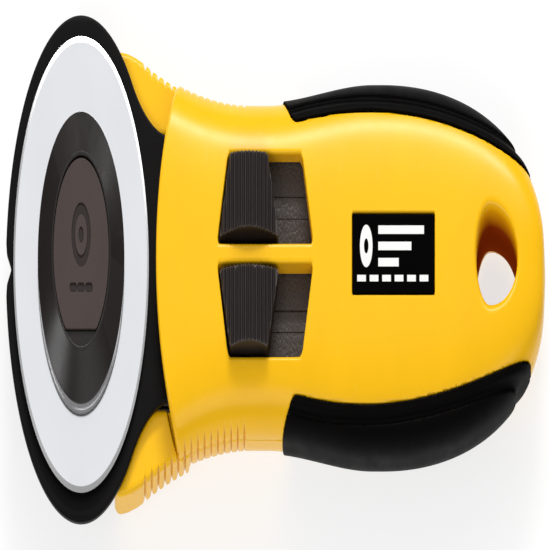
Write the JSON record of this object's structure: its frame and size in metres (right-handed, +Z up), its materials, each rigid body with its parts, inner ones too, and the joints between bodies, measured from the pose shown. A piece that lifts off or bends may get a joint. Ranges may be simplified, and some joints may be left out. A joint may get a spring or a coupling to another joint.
{
  "type": "rotary cutter",
  "caption": "Hand rotary cutter: round blade on a quick release hub, sliding disc guard, two slide buttons and a contoured two-shell handle with grip inlays and a hang hole.",
  "frame": {"origin": "middle of the whole length and width, on the plane that the cutter rests on when it lies on its back with the blade and buttons up", "axes": "+X from the blade towards the tail of the handle, +Z up out of the blade's face and the buttons, +Y to the side of the guard button"},
  "size_m": [0.1793, 0.05, 0.0192],
  "materials": {
    "yellow_plastic": "moulded, satin gloss",
    "black_plastic": "moulded, satin",
    "button_plastic": "moulded, satin, ridged",
    "grip_rubber": "soft elastomer, satin",
    "label_film": "printed film, satin",
    "badge_plastic": "moulded, fine texture",
    "blade_steel": "ground tool steel, satin face and bright bevel",
    "polished_steel": "polished",
    "machined_steel": "turned and plated",
    "spring_steel": "drawn spring steel",
    "nylon": "natural nylon"
  },
  "bodies": {
    "handle": {"top_shell": "yellow_plastic", "bottom_shell": "yellow_plastic", "grip_left": "grip_rubber", "grip_right": "grip_rubber", "label_plate": "label_film", "slider_bed": "black_plastic", "blade_arm": "black_plastic", "arm_cover": "black_plastic", "axle_bush": "machined_steel", "spacer_washer": "nylon", "arm_screw_left": "machined_steel", "arm_screw_right": "machined_steel", "shell_screw_front": "machined_steel", "shell_screw_rear": "machined_steel", "guard_detent_spring": "spring_steel", "release_detent_spring": "spring_steel", "lock_clip": "spring_steel"},
    "guard": {"guard_plate": "black_plastic", "guard_post": "black_plastic", "guard_button": "button_plastic"},
    "release": {"release_bar": "machined_steel", "release_button": "button_plastic"},
    "hub": {"hub_stud": "machined_steel", "wave_washer": "spring_steel", "hub_ring": "polished_steel", "hub_cap": "black_plastic", "hub_badge": "badge_plastic"},
    "blade": {"blade": "blade_steel"}
  },
  "joints": [
    {"name": "guard_slide", "type": "slide", "parent": "handle", "child": "guard", "axis": [1, 0, 0], "range_m": [0, 0.011]},
    {"name": "release_slide", "type": "slide", "parent": "handle", "child": "release", "axis": [1, 0, 0], "range_m": [0, 0.011]},
    {"name": "hub_lift", "type": "slide", "parent": "handle", "child": "hub", "axis": [0, 0, 1], "range_m": [0, 0.02], "deforming": ["lock_clip"]},
    {"name": "blade_spin", "type": "hinge", "parent": "hub", "child": "blade", "pos_m": [-0.0647, 0, 0.01305], "axis": [0, 0, 1], "continuous": true}
  ]
}
